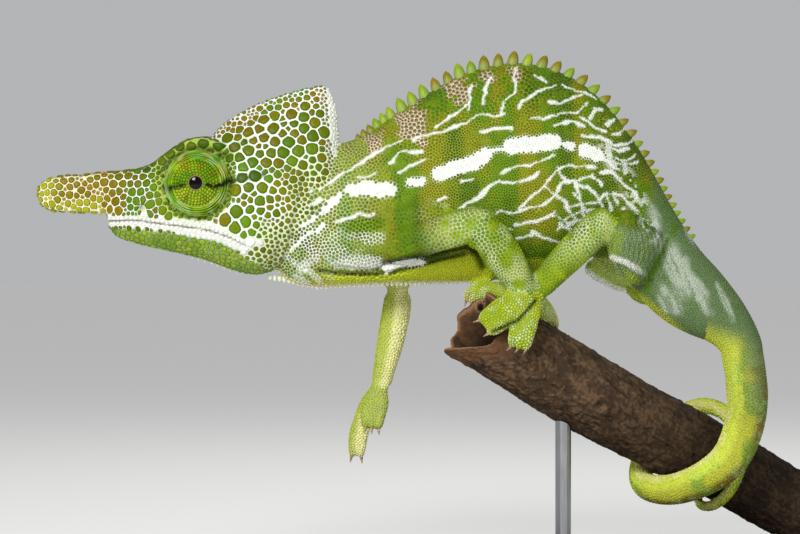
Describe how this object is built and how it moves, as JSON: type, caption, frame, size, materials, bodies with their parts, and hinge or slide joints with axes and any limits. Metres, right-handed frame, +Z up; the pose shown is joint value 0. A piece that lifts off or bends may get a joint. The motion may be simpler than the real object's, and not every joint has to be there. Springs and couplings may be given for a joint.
{
  "type": "chameleon model",
  "caption": "Life-size still model of a male white-lined chameleon with nose blade and tall casque, gripping the broken end of a branch with its tail wrapped round it, on a small flat stand.",
  "frame": {"origin": "middle of the stand's underside", "axes": "+Z up, -X towards the animal's nose, -Y towards its left side, which is the side shown"},
  "size_m": [0.2064, 0.092, 0.1392],
  "materials": {
    "skin": "fine matt scales, green and olive with white lines and a pale net between the scales",
    "eye": "wet gloss, dark pupil with a thin pale gold ring",
    "claw": "smooth translucent horn",
    "branch": "dead weathered bark, reddish broken wood at the hollow end",
    "stand_base": "dark stained and satin lacquered",
    "stand_rod": "brushed"
  },
  "bodies": {
    "root": {"perch": "branch", "stand_rod_1": "stand_rod", "stand_rod_2": "stand_rod", "rostral_appendage": "skin", "head": "skin", "casque": "skin", "lower_jaw": "skin", "neck": "skin", "trunk_front": "skin", "trunk_rear": "skin", "pelvis": "skin", "tail_root": "skin", "eye_turret_left": "skin", "eye_left": "eye", "eye_turret_right": "skin", "eye_right": "eye", "tail_1": "skin", "tail_2": "skin", "tail_3": "skin", "tail_4": "skin", "tail_5": "skin", "upper_arm_left": "skin", "forearm_left": "skin", "hand_left_outer": "skin", "claw_hand_left_outer_1": "claw", "claw_hand_left_outer_2": "claw", "hand_left_inner": "skin", "claw_hand_left_inner_1": "claw", "claw_hand_left_inner_2": "claw", "claw_hand_left_inner_3": "claw", "upper_arm_right": "skin", "forearm_right": "skin", "hand_right_inner": "skin", "claw_hand_right_inner_1": "claw", "claw_hand_right_inner_2": "claw", "claw_hand_right_inner_3": "claw", "hand_right_outer": "skin", "claw_hand_right_outer_1": "claw", "claw_hand_right_outer_2": "claw", "thigh_left": "skin", "shank_left": "skin", "foot_left_outer": "skin", "claw_foot_left_outer_1": "claw", "claw_foot_left_outer_2": "claw", "claw_foot_left_outer_3": "claw", "foot_left_inner": "skin", "claw_foot_left_inner_1": "claw", "claw_foot_left_inner_2": "claw", "thigh_right": "skin", "shank_right": "skin", "foot_right_outer": "skin", "claw_foot_right_outer_1": "claw", "claw_foot_right_outer_2": "claw", "claw_foot_right_outer_3": "claw", "foot_right_inner": "skin", "claw_foot_right_inner_1": "claw", "claw_foot_right_inner_2": "claw", "stand_base": "stand_base"}
  },
  "joints": []
}
